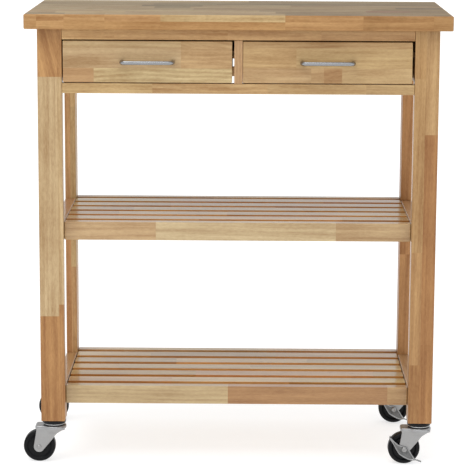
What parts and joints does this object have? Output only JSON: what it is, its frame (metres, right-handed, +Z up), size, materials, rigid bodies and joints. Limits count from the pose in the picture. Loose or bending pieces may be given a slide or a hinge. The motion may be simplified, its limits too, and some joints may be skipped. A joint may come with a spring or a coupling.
{
  "type": "butcher block table",
  "caption": "Kitchen trolley with a butcher block top on a solid wood frame, drawers under the top, slatted shelves and swivel casters with foot brakes on one end.",
  "frame": {"origin": "on the floor, under the middle of the overall box", "axes": "+Z up, +X to the right seen from the front, the drawers open towards -Y"},
  "size_m": [0.8134, 0.4083, 0.87],
  "materials": {
    "top_wood": "satin oiled",
    "leg_wood": "satin lacquer",
    "rail_wood": "satin lacquer",
    "shelf_wood": "satin lacquer",
    "drawer_front_wood": "satin lacquer",
    "drawer_box_wood": "matt",
    "handle_nickel": "satin nickel",
    "cap_black": "satin black",
    "wheel_black": "matt black",
    "zinc_plate": "bright zinc"
  },
  "bodies": {
    "frame": {"butcher_block_top": "top_wood", "front_left_leg": "leg_wood", "front_right_leg": "leg_wood", "rear_left_leg": "leg_wood", "rear_right_leg": "leg_wood", "left_side_apron": "leg_wood", "right_side_apron": "leg_wood", "front_top_rail": "rail_wood", "front_drawer_rail": "rail_wood", "rear_apron": "rail_wood", "rear_drawer_rail": "rail_wood", "centre_divider": "rail_wood", "middle_shelf_front_rail": "shelf_wood", "middle_shelf_rear_rail": "shelf_wood", "middle_shelf_left_rail": "shelf_wood", "middle_shelf_right_rail": "shelf_wood", "middle_shelf_slat_1": "shelf_wood", "middle_shelf_slat_2": "shelf_wood", "middle_shelf_slat_3": "shelf_wood", "middle_shelf_slat_4": "shelf_wood", "middle_shelf_slat_5": "shelf_wood", "lower_shelf_front_rail": "shelf_wood", "lower_shelf_rear_rail": "shelf_wood", "lower_shelf_left_rail": "shelf_wood", "lower_shelf_right_rail": "shelf_wood", "lower_shelf_slat_1": "shelf_wood", "lower_shelf_slat_2": "shelf_wood", "lower_shelf_slat_3": "shelf_wood", "lower_shelf_slat_4": "shelf_wood", "lower_shelf_slat_5": "shelf_wood", "front_left_caster_mount": "cap_black", "front_right_caster_mount": "cap_black", "rear_left_caster_mount": "cap_black", "rear_right_caster_mount": "cap_black"},
    "left_drawer": {"left_drawer_front": "drawer_front_wood", "left_drawer_left_side": "drawer_box_wood", "left_drawer_right_side": "drawer_box_wood", "left_drawer_bottom": "drawer_box_wood", "left_drawer_back": "drawer_box_wood", "left_drawer_handle": "handle_nickel"},
    "right_drawer": {"right_drawer_front": "drawer_front_wood", "right_drawer_left_side": "drawer_box_wood", "right_drawer_right_side": "drawer_box_wood", "right_drawer_bottom": "drawer_box_wood", "right_drawer_back": "drawer_box_wood", "right_drawer_handle": "handle_nickel"},
    "front_left_fork": {"front_left_caster_fork": "zinc_plate", "front_left_caster_axle": "zinc_plate"},
    "front_left_wheel": {"front_left_caster_wheel": "wheel_black"},
    "front_right_fork": {"front_right_caster_fork": "zinc_plate", "front_right_caster_axle": "zinc_plate"},
    "front_right_wheel": {"front_right_caster_wheel": "wheel_black"},
    "front_right_brake": {"front_right_brake_lever": "zinc_plate"},
    "rear_left_fork": {"rear_left_caster_fork": "zinc_plate", "rear_left_caster_axle": "zinc_plate"},
    "rear_left_wheel": {"rear_left_caster_wheel": "wheel_black"},
    "rear_right_fork": {"rear_right_caster_fork": "zinc_plate", "rear_right_caster_axle": "zinc_plate"},
    "rear_right_wheel": {"rear_right_caster_wheel": "wheel_black"},
    "rear_right_brake": {"rear_right_brake_lever": "zinc_plate"}
  },
  "joints": [
    {"name": "left_drawer_slide", "type": "slide", "parent": "frame", "child": "left_drawer", "axis": [0, -1, 0], "range_m": [0, 0.22]},
    {"name": "right_drawer_slide", "type": "slide", "parent": "frame", "child": "right_drawer", "axis": [0, -1, 0], "range_m": [0, 0.22]},
    {"name": "front_left_swivel", "type": "hinge", "parent": "frame", "child": "front_left_fork", "pos_m": [-0.34725, -0.15485, 0.0727], "axis": [0, 0, 1], "continuous": true},
    {"name": "front_left_wheel_spin", "type": "hinge", "parent": "front_left_fork", "child": "front_left_wheel", "pos_m": [-0.37575, -0.15485, 0.031], "axis": [0, 1, 0], "continuous": true},
    {"name": "front_right_swivel", "type": "hinge", "parent": "frame", "child": "front_right_fork", "pos_m": [0.36075, -0.15485, 0.0727], "axis": [0, 0, 1], "continuous": true},
    {"name": "front_right_wheel_spin", "type": "hinge", "parent": "front_right_fork", "child": "front_right_wheel", "pos_m": [0.33225, -0.15485, 0.031], "axis": [0, 1, 0], "continuous": true},
    {"name": "front_right_brake_pivot", "type": "hinge", "parent": "front_right_fork", "child": "front_right_brake", "pos_m": [0.33225, -0.15485, 0.031], "axis": [0, -1, 0], "range_deg": [0, 18]},
    {"name": "rear_left_swivel", "type": "hinge", "parent": "frame", "child": "rear_left_fork", "pos_m": [-0.34725, 0.14315, 0.0727], "axis": [0, 0, 1], "continuous": true},
    {"name": "rear_left_wheel_spin", "type": "hinge", "parent": "rear_left_fork", "child": "rear_left_wheel", "pos_m": [-0.37575, 0.14315, 0.031], "axis": [0, 1, 0], "continuous": true},
    {"name": "rear_right_swivel", "type": "hinge", "parent": "frame", "child": "rear_right_fork", "pos_m": [0.36075, 0.14315, 0.0727], "axis": [0, 0, 1], "continuous": true},
    {"name": "rear_right_wheel_spin", "type": "hinge", "parent": "rear_right_fork", "child": "rear_right_wheel", "pos_m": [0.33225, 0.14315, 0.031], "axis": [0, 1, 0], "continuous": true},
    {"name": "rear_right_brake_pivot", "type": "hinge", "parent": "rear_right_fork", "child": "rear_right_brake", "pos_m": [0.33225, 0.14315, 0.031], "axis": [0, -1, 0], "range_deg": [0, 18]}
  ]
}
